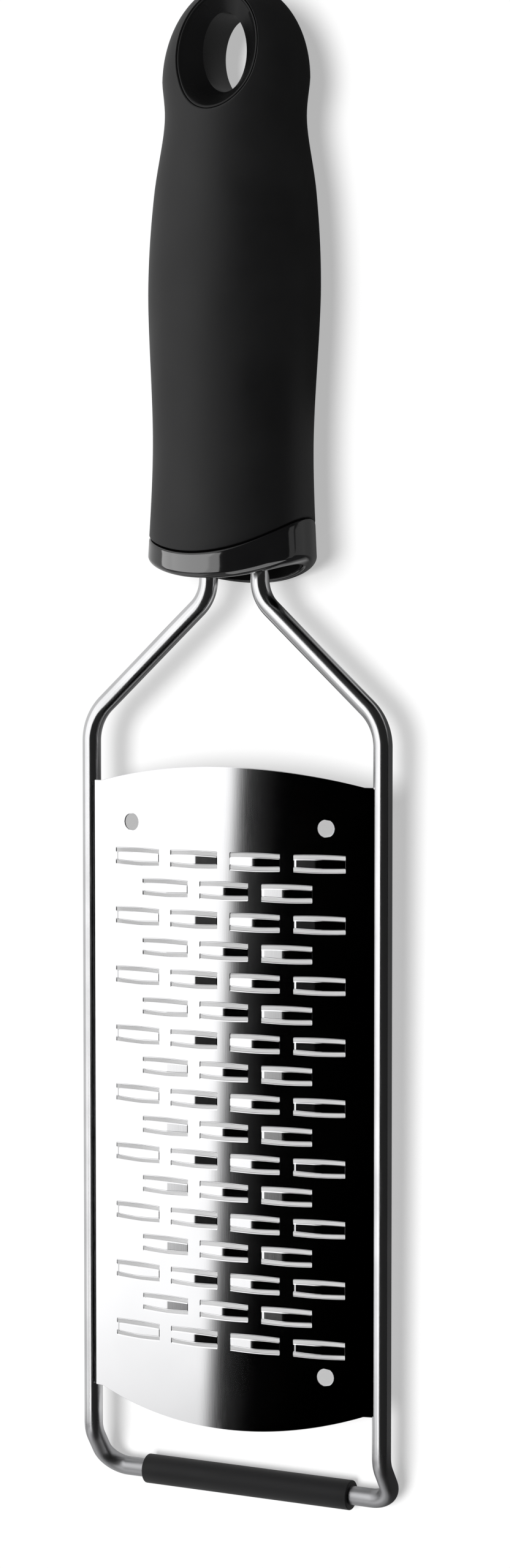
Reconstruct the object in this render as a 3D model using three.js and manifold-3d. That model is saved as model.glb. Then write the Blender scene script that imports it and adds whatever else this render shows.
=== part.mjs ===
// Ribbon grater: an arched blade with lanced bridge teeth on a bent wire frame with a moulded handle.
// Millimetres, +Z up. X runs across the blade, Y along the tool towards the handle, and Z out of the
// blade's face. The tool lies on its back, on the handle's belly and the rubber foot.

import * as THREE from 'three';
import { mergeVertices } from 'three/addons/utils/BufferGeometryUtils.js';
import Module from 'manifold-3d';

// Clearances
const PART_GAP = 0.3;
const SEAT_GAP = 0.25;

// Tooth pattern
const TOOTH_ROWS = 17;
const LONG_ROW_TEETH = 4;
const ROW_PITCH = 6.35;
const COLUMN_PITCH = 14.36;
const TOOTH_LENGTH = 11.3;
const TOOTH_OPENING = 3.6;
const TOOTH_STRIP = 1.85;
const RAMP_LENGTH = 0.6;
const RAMP_RISE = 0.15;
const CREST_RISE = 0.55;
const STRIP_ROOT = 0.6;

// Blade
const BLADE_WIDTH = 66.4;
const BLADE_THICKNESS = 0.3;
const BLADE_ARCH_RISE = 3.7;
const BLADE_TOP_MARGIN = 16;
const BLADE_BOTTOM_MARGIN = 13.5;
const TOP_END_RISE = 3.7;
const BOTTOM_END_RISE = 5.4;
const END_SHOULDER = 2.2;
const HOLE_DIAMETER = 3.65;
const HOLE_SPACING = 46;
const TOP_HOLE_OFFSET = 7.4;
const BOTTOM_HOLE_OFFSET = 5.7;
const BLADE_FACETS = 8;
const HOLE_SIDES = 16;

// Wire frame
const WIRE_DIAMETER = 4;
const LEG_OVERHANG = 1.2;
const SEAT_HEIGHT = 0.75;
const PRONG_SPACING = 12.1;
const FLARE_ABOVE_BLADE = 13.1;
const FLARE_HEIGHT = 26.1;
const LEG_BEND_RADIUS = 10.9;
const PRONG_BEND_RADIUS = 8.3;
const PRONG_SHOWN = 3.4;
const WIRE_TAIL = 62;
const BEND_BELOW_BLADE = 8;
const BACK_BEND_ANGLE = 30;
const BACK_BEND_RADIUS = 9;
const FOOT_DROP = 6.5;
const FOOT_CORNER_RADIUS = 7;
const WIRE_SIDES = 12;
const BEND_STEP_DEGREES = 15;

// Weld beads
const WELDS_PER_SIDE = 6;
const WELD_LENGTH = 5;
const WELD_LEG = 1.1;
const WELD_END_MARGIN = 8;

// Foot sleeve
const SLEEVE_DIAMETER = 6.4;
const SLEEVE_LENGTH = 49;
const SLEEVE_SIDES = 16;

// Handle, with its sections one after the other from the blade end
const MOUTH_WIDTH = 37.9;
const MOUTH_DEPTH = 26;
const MOUTH_TO_WAIST = 27.7;
const WAIST_WIDTH = 35.3;
const WAIST_DEPTH = 26.2;
const WAIST_TO_BELLY = 34;
const BELLY_WIDTH = 37.7;
const BELLY_DEPTH = 28.8;
const BELLY_TO_SHOULDER = 18.5;
const SHOULDER_WIDTH = 35.4;
const SHOULDER_DEPTH = 27.4;
const SHOULDER_TO_NECK = 15.5;
const NECK_WIDTH = 30.7;
const NECK_DEPTH = 25;
const NECK_TO_HEAD = 7.9;
const HEAD_WIDTH = 32.6;
const HEAD_DEPTH = 22.8;
const HEAD_TO_TIP = 20.4;
const HEAD_DEPTH_FULLNESS = 0.35;
const HANDLE_OFFSET = 1.1;
const HANDLE_LEAN = 1.1;
const HANDLE_WALL = 3;
const HANDLE_SIDES = 28;
const HANDLE_BODY_RINGS = 16;
const HANDLE_HEAD_RINGS = 6;
const HANDLE_TIP_ANGLE = 84.375;

// Handle end
const COLLAR_HEIGHT = 5.3;
const COLLAR_ARC_RADIUS = 32.8;
const COLLAR_SLANT = 4.4;
const END_ARC_RADIUS = 42.3;
const ARC_HALF_ANGLE = 48.6;
const END_LEAN = 2.5;
const PLUG_RECESS = 3;
const PLUG_HEIGHT = 10;
const CORE_END_MARGIN = 3;

// Hang hole
const HEAD_TO_HANG_HOLE = 5.4;
const HANG_HOLE_WIDTH = 10.2;
const HANG_HOLE_HEIGHT = 16.4;
const HANG_HOLE_STRAIGHT = 10.3;
const EYELET_WALL = 4.1;
const EYELET_FLARE = 2.9;
const EYELET_RECESS = 0.3;
const OVAL_SIDES = 24;

// Places that follow from the sizes, from the middle of the tooth pattern and the plane of the wire
const WIRE_RADIUS = WIRE_DIAMETER / 2;
const PATTERN_HALF = ((TOOTH_ROWS - 1) / 2) * ROW_PITCH;
const BLADE_TOP = PATTERN_HALF + BLADE_TOP_MARGIN;
const BLADE_BOTTOM = -PATTERN_HALF - BLADE_BOTTOM_MARGIN;
const BLADE_HALF = BLADE_WIDTH / 2;
const ARCH_RADIUS = (BLADE_HALF ** 2 + BLADE_ARCH_RISE ** 2) / (2 * BLADE_ARCH_RISE);
const BLADE_EDGE_Z = SEAT_HEIGHT + SEAT_GAP + BLADE_THICKNESS / 2;
const ARCH_CENTRE_Z = BLADE_EDGE_Z + BLADE_ARCH_RISE - ARCH_RADIUS;
const ARCH_HALF_ANGLE = Math.asin(BLADE_HALF / ARCH_RADIUS);
const LEG_X = BLADE_HALF + LEG_OVERHANG;
const LEG_CORNER_Y = BLADE_TOP + FLARE_ABOVE_BLADE;
const PRONG_CORNER_Y = LEG_CORNER_Y + FLARE_HEIGHT;
const MOUTH_Y = PRONG_CORNER_Y + PRONG_SHOWN;
const TAIL_TOP_Y = MOUTH_Y + WIRE_TAIL;
const BACK_BEND_Y = BLADE_BOTTOM - BEND_BELOW_BLADE;
const FOOT_Y = BACK_BEND_Y - FOOT_DROP / Math.tan(THREE.MathUtils.degToRad(BACK_BEND_ANGLE));
const COLLAR_TOP_Y = MOUTH_Y + COLLAR_HEIGHT;
const PLUG_TOP_Y = MOUTH_Y + PLUG_RECESS + PLUG_HEIGHT;
const WAIST_Y = MOUTH_Y + MOUTH_TO_WAIST;
const BELLY_Y = WAIST_Y + WAIST_TO_BELLY;
const SHOULDER_Y = BELLY_Y + BELLY_TO_SHOULDER;
const NECK_Y = SHOULDER_Y + SHOULDER_TO_NECK;
const HEAD_Y = NECK_Y + NECK_TO_HEAD;
const HANG_HOLE_Y = HEAD_Y + HEAD_TO_HANG_HOLE;
const CORE_END_Y = HANG_HOLE_Y - HANG_HOLE_HEIGHT / 2 - EYELET_WALL - CORE_END_MARGIN;
const FAR = 2 * (HEAD_Y + HEAD_TO_TIP - MOUTH_Y);

const wasm = await Module();
wasm.setup();

// Solids and geometry

function toSolid(geometry) {
  const bare = geometry.clone();
  bare.deleteAttribute('normal');
  bare.deleteAttribute('uv');
  const merged = mergeVertices(bare, 1e-4);
  return new wasm.Manifold(new wasm.Mesh({
    numProp: 3,
    vertProperties: new Float32Array(merged.attributes.position.array),
    triVerts: new Uint32Array(merged.index.array),
  }));
}

function toGeometry(solid) {
  const mesh = solid.getMesh();
  const geometry = new THREE.BufferGeometry();
  geometry.setAttribute('position', new THREE.BufferAttribute(mesh.vertProperties, 3));
  geometry.setIndex(new THREE.BufferAttribute(mesh.triVerts, 1));
  geometry.computeVertexNormals();
  return geometry;
}

// A closed skin through rings of equally many points, counted counterclockwise as seen from beyond the last.
function loft(rings) {
  const count = rings[0].length;
  const corner = (ring, side) => ring * count + (side % count);
  const index = [];
  for (let ring = 0; ring + 1 < rings.length; ring += 1) {
    for (let side = 0; side < count; side += 1) {
      const a = corner(ring, side);
      const b = corner(ring, side + 1);
      const c = corner(ring + 1, side + 1);
      const d = corner(ring + 1, side);
      index.push(a, b, c, a, c, d);
    }
  }
  const last = rings.length - 1;
  for (let side = 1; side + 1 < count; side += 1) {
    index.push(corner(0, 0), corner(0, side + 1), corner(0, side));
    index.push(corner(last, 0), corner(last, side), corner(last, side + 1));
  }
  const geometry = new THREE.BufferGeometry();
  const points = rings.flat().flatMap((point) => point.toArray());
  geometry.setAttribute('position', new THREE.Float32BufferAttribute(points, 3));
  geometry.setIndex(index);
  return geometry;
}

function ellipsePoints(halfWidth, halfHeight, sides) {
  const points = [];
  for (let side = 0; side < sides; side += 1) {
    const angle = ((side + 0.5) / sides) * 2 * Math.PI;
    points.push(new THREE.Vector2(halfWidth * Math.cos(angle), halfHeight * Math.sin(angle)));
  }
  return points;
}

// A prism of a flat XY shape, centred on Z = 0.
function prismAlongZ(shape, height, curveSegments = 12) {
  const options = { depth: height, bevelEnabled: false, curveSegments };
  return new THREE.ExtrudeGeometry(shape, options).translate(0, 0, -height / 2);
}

// A prism of a shape drawn in the XZ plane, centred on Y = 0.
function prismAlongY(shape, length, curveSegments = 12) {
  return prismAlongZ(shape, length, curveSegments).rotateX(Math.PI / 2);
}

function boxSolid(low, high) {
  const size = new THREE.Vector3().subVectors(high, low);
  const middle = new THREE.Vector3().addVectors(low, high).multiplyScalar(0.5);
  return toSolid(new THREE.BoxGeometry(size.x, size.y, size.z).translate(middle.x, middle.y, middle.z));
}

// Wire frame

// Points of a path with rounded corners, each with the direction of travel there.
function roundedPath(corners) {
  const path = [{ point: corners[0].point, along: directionBetween(corners[0], corners[1]) }];
  for (let index = 1; index + 1 < corners.length; index += 1) {
    const before = directionBetween(corners[index - 1], corners[index]);
    const after = directionBetween(corners[index], corners[index + 1]);
    const turn = before.angleTo(after);
    const setback = corners[index].radius * Math.tan(turn / 2);
    const start = corners[index].point.clone().addScaledVector(before, -setback);
    const inward = after.clone().addScaledVector(before, -after.dot(before)).normalize();
    const centre = start.clone().addScaledVector(inward, corners[index].radius);
    const axis = new THREE.Vector3().crossVectors(before, after).normalize();
    const steps = Math.max(2, Math.round(THREE.MathUtils.radToDeg(turn) / BEND_STEP_DEGREES));
    for (let step = 0; step <= steps; step += 1) {
      const angle = (turn * step) / steps;
      const spoke = inward.clone().multiplyScalar(-corners[index].radius).applyAxisAngle(axis, angle);
      path.push({ point: centre.clone().add(spoke), along: before.clone().applyAxisAngle(axis, angle) });
    }
  }
  const last = corners.length - 1;
  path.push({ point: corners[last].point, along: directionBetween(corners[last - 1], corners[last]) });
  return path;
}

function directionBetween(from, to) {
  return new THREE.Vector3().subVectors(to.point, from.point).normalize();
}

// A round rod along a path, with its section carried along without twist.
function rodAlong(path, radius, sides) {
  const across = new THREE.Vector3(0, 0, 1);
  const rings = path.map(({ point, along }) => {
    across.addScaledVector(along, -across.dot(along)).normalize();
    const beside = new THREE.Vector3().crossVectors(along, across);
    return ellipsePoints(radius, radius, sides).map((offset) => (
      point.clone().addScaledVector(across, offset.x).addScaledVector(beside, offset.y)
    ));
  });
  return loft(rings);
}

function frameCorners() {
  const oneSide = [
    { point: [PRONG_SPACING / 2, TAIL_TOP_Y, 0] },
    { point: [PRONG_SPACING / 2, PRONG_CORNER_Y, 0], radius: PRONG_BEND_RADIUS },
    { point: [LEG_X, LEG_CORNER_Y, 0], radius: LEG_BEND_RADIUS },
    { point: [LEG_X, BACK_BEND_Y, 0], radius: BACK_BEND_RADIUS },
    { point: [LEG_X, FOOT_Y, -FOOT_DROP], radius: FOOT_CORNER_RADIUS },
  ];
  const side = (sign) => oneSide.map(({ point, radius }) => (
    { point: new THREE.Vector3(sign * point[0], point[1], point[2]), radius }
  ));
  return [...side(-1), ...side(1).reverse()];
}

// The rod, with a flat seat for the blade's edge on the inner shoulder of each leg.
function makeWireFrame() {
  let solid = toSolid(rodAlong(roundedPath(frameCorners()), WIRE_RADIUS, WIRE_SIDES));
  const seatOuter = BLADE_HALF + SEAT_GAP;
  const seatInner = LEG_X - WIRE_DIAMETER;
  for (const sign of [-1, 1]) {
    const left = Math.min(sign * seatOuter, sign * seatInner);
    const right = Math.max(sign * seatOuter, sign * seatInner);
    solid = solid.subtract(boxSolid(
      new THREE.Vector3(left, BLADE_BOTTOM - SEAT_GAP, SEAT_HEIGHT),
      new THREE.Vector3(right, BLADE_TOP + SEAT_GAP, WIRE_DIAMETER),
    ));
  }
  return toGeometry(solid);
}

// Blade

// The place on the arch at a distance across it, turned square to the sheet.
function onArch(across, along) {
  const angle = across / ARCH_RADIUS;
  const place = new THREE.Matrix4().makeRotationY(angle);
  return place.setPosition(
    ARCH_RADIUS * Math.sin(angle),
    along,
    ARCH_CENTRE_Z + ARCH_RADIUS * Math.cos(angle),
  );
}

function archSection() {
  const outer = ARCH_RADIUS + BLADE_THICKNESS / 2;
  const inner = ARCH_RADIUS - BLADE_THICKNESS / 2;
  const right = Math.PI / 2 - ARCH_HALF_ANGLE;
  const left = Math.PI / 2 + ARCH_HALF_ANGLE;
  const shape = new THREE.Shape();
  shape.absarc(0, ARCH_CENTRE_Z, outer, right, left, false);
  shape.absarc(0, ARCH_CENTRE_Z, inner, left, right, true);
  shape.closePath();
  return shape;
}

function bladeOutline() {
  const reach = BLADE_HALF - END_SHOULDER;
  const arcOf = (rise) => ({
    radius: (reach ** 2 + rise ** 2) / (2 * rise),
    half: 2 * Math.atan(rise / reach),
  });
  const top = arcOf(TOP_END_RISE);
  const bottom = arcOf(BOTTOM_END_RISE);
  const beyond = BLADE_HALF + WIRE_RADIUS;
  const up = Math.PI / 2;
  const topCentre = BLADE_TOP + TOP_END_RISE - top.radius;
  const bottomCentre = BLADE_BOTTOM - BOTTOM_END_RISE + bottom.radius;
  const shape = new THREE.Shape();
  shape.moveTo(beyond, BLADE_BOTTOM);
  shape.lineTo(beyond, BLADE_TOP);
  shape.absarc(0, topCentre, top.radius, up - top.half, up + top.half, false);
  shape.lineTo(-beyond, BLADE_TOP);
  shape.lineTo(-beyond, BLADE_BOTTOM);
  shape.absarc(0, bottomCentre, bottom.radius, -up - bottom.half, -up + bottom.half, false);
  shape.closePath();
  return shape;
}

// Places of the teeth: rows of four, with rows of one fewer between them.
function toothPlaces() {
  const places = [];
  for (let row = 0; row < TOOTH_ROWS; row += 1) {
    const count = LONG_ROW_TEETH - (row % 2);
    for (let column = 0; column < count; column += 1) {
      places.push(onArch((column - (count - 1) / 2) * COLUMN_PITCH, PATTERN_HALF - row * ROW_PITCH));
    }
  }
  return places;
}

// A bridge strip: a short ramp at each end and a shallow gable between them.
function toothStrip() {
  const half = TOOTH_LENGTH / 2;
  const endLevel = -(half ** 2) / (2 * ARCH_RADIUS);
  const thick = BLADE_THICKNESS / 2;
  const upper = [
    [-half, endLevel],
    [-half + RAMP_LENGTH, RAMP_RISE],
    [0, CREST_RISE],
    [half - RAMP_LENGTH, RAMP_RISE],
    [half, endLevel],
  ];
  const shape = new THREE.Shape();
  shape.moveTo(-half - STRIP_ROOT, endLevel);
  upper.forEach(([across, level]) => shape.lineTo(across, level - thick));
  shape.lineTo(half + STRIP_ROOT, endLevel);
  upper.reverse().forEach(([across, level]) => shape.lineTo(across, level + thick));
  shape.closePath();
  return prismAlongY(shape, TOOTH_STRIP);
}

function makeBlade() {
  const sheetLength = BLADE_TOP - BLADE_BOTTOM + TOP_END_RISE + BOTTOM_END_RISE;
  const middle = (BLADE_TOP + TOP_END_RISE + BLADE_BOTTOM - BOTTOM_END_RISE) / 2;
  const sheet = prismAlongY(archSection(), 2 * sheetLength, BLADE_FACETS).translate(0, middle, 0);
  const cutDepth = 2 * BLADE_ARCH_RISE;
  const outline = prismAlongZ(bladeOutline(), 4 * BLADE_ARCH_RISE, BLADE_FACETS)
    .translate(0, 0, BLADE_EDGE_Z + BLADE_ARCH_RISE / 2);
  let solid = toSolid(sheet).intersect(toSolid(outline));
  const opening = new THREE.BoxGeometry(TOOTH_LENGTH, TOOTH_OPENING, cutDepth);
  const strip = toothStrip();
  for (const place of toothPlaces()) {
    solid = solid.subtract(toSolid(opening.clone().applyMatrix4(place)));
    solid = solid.add(toSolid(strip.clone().applyMatrix4(place)));
  }
  const topHoles = PATTERN_HALF + TOP_HOLE_OFFSET;
  const bottomHoles = -PATTERN_HALF - BOTTOM_HOLE_OFFSET;
  const holeShape = new THREE.Shape(ellipsePoints(HOLE_DIAMETER / 2, HOLE_DIAMETER / 2, HOLE_SIDES));
  const hole = prismAlongZ(holeShape, cutDepth);
  const holePlaces = [
    onArch(-HOLE_SPACING / 2, topHoles),
    onArch(HOLE_SPACING / 2, topHoles),
    onArch(HOLE_SPACING / 2, bottomHoles),
  ];
  for (const place of holePlaces) {
    solid = solid.subtract(toSolid(hole.clone().applyMatrix4(place)));
  }
  return toGeometry(solid);
}

// Weld beads, in the corner between a leg's inner flank and the underside of the blade

function weldSection() {
  const slope = Math.tan(ARCH_HALF_ANGLE);
  const underside = (inward) => SEAT_HEIGHT + SEAT_GAP + (inward - LEG_OVERHANG) * slope - PART_GAP;
  const clear = WIRE_RADIUS + PART_GAP;
  const shape = new THREE.Shape();
  shape.moveTo(-clear, -WELD_LEG / 3);
  shape.lineTo(-clear, underside(clear));
  shape.lineTo(-clear - WELD_LEG, underside(clear + WELD_LEG));
  shape.lineTo(-clear - WELD_LEG / 2, 0);
  shape.closePath();
  return shape;
}

function makeWeld(sign) {
  const bead = prismAlongY(weldSection(), WELD_LENGTH);
  return sign > 0 ? bead : bead.rotateZ(Math.PI);
}

function weldY(number) {
  const first = BLADE_BOTTOM + WELD_END_MARGIN;
  const last = BLADE_TOP - WELD_END_MARGIN;
  return last + ((first - last) * number) / (WELDS_PER_SIDE - 1);
}

// Foot sleeve

function tubeShape(outerRadius, boreRadius, sides) {
  const shape = new THREE.Shape(ellipsePoints(outerRadius, outerRadius, sides));
  shape.holes.push(new THREE.Path(ellipsePoints(boreRadius, boreRadius, sides).reverse()));
  return shape;
}

// A bore whose flats clear the rod's corners.
function boreRadiusFor(radius, sides) {
  return (radius + PART_GAP) / Math.cos(Math.PI / sides);
}

function makeFootSleeve() {
  const bore = boreRadiusFor(WIRE_RADIUS, SLEEVE_SIDES);
  return prismAlongZ(tubeShape(SLEEVE_DIAMETER / 2, bore, SLEEVE_SIDES), SLEEVE_LENGTH).rotateY(Math.PI / 2);
}

// Handle

// Half width, place and half depth of the handle at each of its rings.
function handleStations() {
  const section = (along, width, depth) => new THREE.Vector3(width / 2, along, depth / 2);
  const body = new THREE.CatmullRomCurve3([
    section(MOUTH_Y, MOUTH_WIDTH, MOUTH_DEPTH),
    section(WAIST_Y, WAIST_WIDTH, WAIST_DEPTH),
    section(BELLY_Y, BELLY_WIDTH, BELLY_DEPTH),
    section(SHOULDER_Y, SHOULDER_WIDTH, SHOULDER_DEPTH),
    section(NECK_Y, NECK_WIDTH, NECK_DEPTH),
    section(HEAD_Y, HEAD_WIDTH, HEAD_DEPTH),
  ]);
  const stations = body.getPoints(HANDLE_BODY_RINGS);
  for (let ring = 1; ring <= HANDLE_HEAD_RINGS; ring += 1) {
    const angle = (ring / HANDLE_HEAD_RINGS) * THREE.MathUtils.degToRad(HANDLE_TIP_ANGLE);
    stations.push(new THREE.Vector3(
      (HEAD_WIDTH / 2) * Math.cos(angle),
      HEAD_Y + HEAD_TO_TIP * Math.sin(angle),
      (HEAD_DEPTH / 2) * Math.cos(angle) ** (2 * HEAD_DEPTH_FULLNESS),
    ));
  }
  return stations;
}

function handleCentreZ(along) {
  return HANDLE_OFFSET - (along - MOUTH_Y) * Math.tan(THREE.MathUtils.degToRad(HANDLE_LEAN));
}

// The rings of the handle's outside, moved out by grow, which is negative for an inner skin.
function handleRings(grow) {
  return handleStations().map((station) => {
    const points = ellipsePoints(station.x + grow, station.z + grow, HANDLE_SIDES);
    const centre = handleCentreZ(station.y);
    return points.map((point) => new THREE.Vector3(point.x, station.y, centre + point.y)).reverse();
  });
}

// The handle's body, run straight on past its mouth so that its end can be cut to an arc.
function handleBody(grow, rings = handleRings(grow)) {
  const mouth = rings[0].map((point) => point.clone().setY(MOUTH_Y - HANDLE_WALL));
  return toSolid(loft([mouth, ...rings]));
}

// The rings of an inner skin end where the handle's head begins to close.
function handleInside(inset) {
  return handleBody(-inset, handleRings(-inset).slice(0, HANDLE_BODY_RINGS + 1));
}

// Everything on the blade's side of an arc across the handle, whose middle is at a level. The arc leans towards
// the handle's back, and a slant lifts it towards +X.
function belowArc(level, radius, slant) {
  const half = THREE.MathUtils.degToRad(ARC_HALF_ANGLE);
  const reach = radius * Math.sin(half);
  const down = -Math.PI / 2;
  const shape = new THREE.Shape();
  shape.absarc(0, radius, radius, down - half, down + half, false);
  shape.lineTo(reach, -FAR);
  shape.lineTo(-reach, -FAR);
  shape.closePath();
  return toSolid(prismAlongZ(shape, FAR)
    .rotateZ(THREE.MathUtils.degToRad(slant))
    .rotateX(-THREE.MathUtils.degToRad(END_LEAN))
    .translate(0, level, handleCentreZ(level)));
}

// The arc of the handle's open end.
function belowEndArc(level) {
  return belowArc(level, END_ARC_RADIUS, 0);
}

// The arc between the collar and the grip, which isn't square to the handle.
function belowCollarArc(level) {
  return belowArc(level, COLLAR_ARC_RADIUS, COLLAR_SLANT);
}

function slab(fromY, toY) {
  return boxSolid(new THREE.Vector3(-FAR, fromY, -FAR), new THREE.Vector3(FAR, toY, FAR));
}

function ovalPrism(grow) {
  const points = ellipsePoints(HANG_HOLE_WIDTH / 2 + grow, HANG_HOLE_HEIGHT / 2 + grow, OVAL_SIDES);
  return toSolid(prismAlongZ(new THREE.Shape(points), FAR).translate(0, HANG_HOLE_Y, 0));
}

// The hang hole's bore, straight at mid depth and flared towards both faces of the handle.
function flaredBore() {
  const centre = handleCentreZ(HANG_HOLE_Y);
  const straight = HANG_HOLE_STRAIGHT / 2;
  const flareDepth = HEAD_DEPTH / 2 - straight;
  const ring = (height, grow) => (
    ellipsePoints(HANG_HOLE_WIDTH / 2 + grow, HANG_HOLE_HEIGHT / 2 + grow, OVAL_SIDES)
      .map((point) => new THREE.Vector3(point.x, HANG_HOLE_Y + point.y, centre + height))
  );
  return toSolid(loft([
    ring(-straight - 2 * flareDepth, 2 * EYELET_FLARE),
    ring(-straight, 0),
    ring(straight, 0),
    ring(straight + 2 * flareDepth, 2 * EYELET_FLARE),
  ]));
}

// The two bores that the wire's prongs and tails lie in, up to a height.
function prongBores(upToY) {
  const radius = boreRadiusFor(WIRE_RADIUS, WIRE_SIDES);
  const bore = new THREE.Shape(ellipsePoints(radius, radius, WIRE_SIDES));
  const length = upToY - PRONG_CORNER_Y;
  const boreAt = (x) => toSolid(prismAlongY(bore, length).translate(x, upToY - length / 2, 0));
  return boreAt(-PRONG_SPACING / 2).add(boreAt(PRONG_SPACING / 2));
}

function makeGrip() {
  const cavity = handleInside(HANDLE_WALL).intersect(slab(MOUTH_Y - FAR, CORE_END_Y + PART_GAP));
  return toGeometry(handleBody(0)
    .subtract(belowCollarArc(COLLAR_TOP_Y + PART_GAP))
    .subtract(cavity)
    .subtract(ovalPrism(EYELET_WALL + PART_GAP)));
}

function makeHandleCore() {
  return toGeometry(handleInside(HANDLE_WALL + PART_GAP)
    .intersect(slab(PLUG_TOP_Y + PART_GAP, CORE_END_Y))
    .subtract(prongBores(TAIL_TOP_Y + PART_GAP)));
}

function makeEndCollar() {
  return toGeometry(handleBody(0)
    .subtract(belowEndArc(MOUTH_Y))
    .intersect(belowCollarArc(COLLAR_TOP_Y))
    .subtract(handleInside(HANDLE_WALL)));
}

function makeEndPlug() {
  return toGeometry(handleInside(HANDLE_WALL + PART_GAP)
    .subtract(belowEndArc(MOUTH_Y + PLUG_RECESS))
    .intersect(slab(MOUTH_Y, PLUG_TOP_Y))
    .subtract(prongBores(PLUG_TOP_Y + PART_GAP)));
}

function makeEyelet() {
  return toGeometry(ovalPrism(EYELET_WALL).subtract(flaredBore()).intersect(handleBody(-EYELET_RECESS)));
}

// Rest attitude

// How far the tool turns about X so that the foot and the lowest part of the handle's back lie level.
function restTilt() {
  const sleeveFlat = (SLEEVE_DIAMETER / 2) * Math.cos(Math.PI / SLEEVE_SIDES);
  const tilts = handleRings(0).map((ring) => {
    const along = ring[0].y - FOOT_Y;
    const below = -FOOT_DROP - Math.min(...ring.map((point) => point.z));
    return Math.atan2(below, along) - Math.asin(sleeveFlat / Math.hypot(below, along));
  });
  return Math.max(...tilts);
}

// Materials

function finish(color, roughness, metalness) {
  return new THREE.MeshStandardMaterial({ color, roughness, metalness });
}

function addPart(group, name, geometry, material) {
  const part = new THREE.Mesh(geometry, material);
  part.name = name;
  group.add(part);
  return part;
}

// Assembly

const tool = new THREE.Group();
const tilt = restTilt();
addPart(tool, 'wire_frame', makeWireFrame(), finish(0xc4c6c8, 0.16, 1));
addPart(tool, 'blade', makeBlade(), finish(0xd4d6d8, 0.08, 1));
for (const [side, sign] of [['left', -1], ['right', 1]]) {
  for (let number = 0; number < WELDS_PER_SIDE; number += 1) {
    const weld = addPart(tool, `weld_${side}_${number + 1}`, makeWeld(sign), finish(0x9a9a98, 0.45, 1));
    weld.position.set(sign * LEG_X, weldY(number), 0);
  }
}
const sleeve = addPart(tool, 'foot_sleeve', makeFootSleeve(), finish(0x26272a, 0.7, 0));
sleeve.position.set(0, FOOT_Y, -FOOT_DROP);
sleeve.rotation.x = -tilt;
addPart(tool, 'grip', makeGrip(), finish(0x2a2a2c, 0.65, 0));
addPart(tool, 'handle_core', makeHandleCore(), finish(0x3a3a3c, 0.6, 0));
addPart(tool, 'end_collar', makeEndCollar(), finish(0x0c0c0d, 0.12, 0));
addPart(tool, 'end_plug', makeEndPlug(), finish(0x101011, 0.4, 0));
addPart(tool, 'eyelet', makeEyelet(), finish(0x0e0e0f, 0.2, 0));
tool.rotation.x = tilt;

// The origin is the middle of the tool's underside.
const grater = new THREE.Group();
grater.add(tool);
grater.updateMatrixWorld(true);
const bounds = new THREE.Box3().setFromObject(grater, true);
const middle = bounds.getCenter(new THREE.Vector3());
tool.position.set(-middle.x, -middle.y, -bounds.min.z);
grater.updateMatrixWorld(true);

export default grater;
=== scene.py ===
import math
from bisect import bisect_right

import bmesh
import bpy
from mathutils import Matrix, Vector, noise


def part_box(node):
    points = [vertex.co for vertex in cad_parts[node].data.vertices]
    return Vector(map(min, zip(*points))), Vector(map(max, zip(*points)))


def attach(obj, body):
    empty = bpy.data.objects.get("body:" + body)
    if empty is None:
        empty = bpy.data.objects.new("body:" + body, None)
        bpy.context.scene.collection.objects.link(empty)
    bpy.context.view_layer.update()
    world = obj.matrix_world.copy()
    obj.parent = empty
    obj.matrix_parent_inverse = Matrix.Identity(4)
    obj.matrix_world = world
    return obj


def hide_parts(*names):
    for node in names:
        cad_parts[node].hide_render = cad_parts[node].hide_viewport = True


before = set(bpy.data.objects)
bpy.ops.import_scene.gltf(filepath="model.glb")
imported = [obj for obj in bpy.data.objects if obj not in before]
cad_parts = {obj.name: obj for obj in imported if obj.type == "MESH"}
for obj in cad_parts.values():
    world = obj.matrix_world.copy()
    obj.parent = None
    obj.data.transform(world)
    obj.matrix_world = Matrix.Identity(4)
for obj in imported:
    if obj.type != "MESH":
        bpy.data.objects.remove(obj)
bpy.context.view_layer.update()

# Sizes are in millimetres in the tool's own frame: X across the blade, Y along the tool towards the handle,
# from the middle of the tooth pattern, and Z out of the blade's face, from the plane of the wire.
MILLIMETRE = 0.001

# Differences that are too small to matter
SMALL = 1e-6
SAME_LINE = 1e-3
NEARLY_STRAIGHT = 1e-4

# Teeth
TOOTH_ROWS = 17
LONG_ROW_TEETH = 4
ROW_PITCH = 6.35
COLUMN_PITCH = 14.36
TOOTH_LENGTH = 11.3
TOOTH_OPENING = 3.23
TOOTH_STRIP = 1.83
TOOTH_BOW = 0.14
SLOT_BEVEL = 0.28
LEFT_RAMP, LEFT_SLOPE = 0.8, 5.7
RIGHT_RAMP, RIGHT_SLOPE = 0.06, 5.1
CREST_RISE = 0.49
CREST_ROUND = 0.9
RAMP_LINES = 5
CREST_LINES = 3

# Blade
BLADE_WIDTH = 66.4
BLADE_THICKNESS = 0.3
BLADE_ARCH_RISE = 3.7
BLADE_EDGE_Z = 1.15
BLADE_TOP_MARGIN = 16
BLADE_BOTTOM_MARGIN = 13.5
TOP_END_RISE = 3.7
BOTTOM_END_RISE = 5.4
END_SHOULDER = 2.2
HOLE_DIAMETER = 3.65
HOLE_SPACING = 46
TOP_HOLE_OFFSET = 7.4
BOTTOM_HOLE_OFFSET = 5.7
HOLE_PATCH = 3
HOLE_PATCH_STEPS = 3
HOLE_RING = 0.4
BLADE_CHAMFER = 0.1
END_BLEND = 4.3
END_ROWS = 4
SHOULDER_LINES, SHOULDER_LINE_STEP = 3, 1.2

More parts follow.
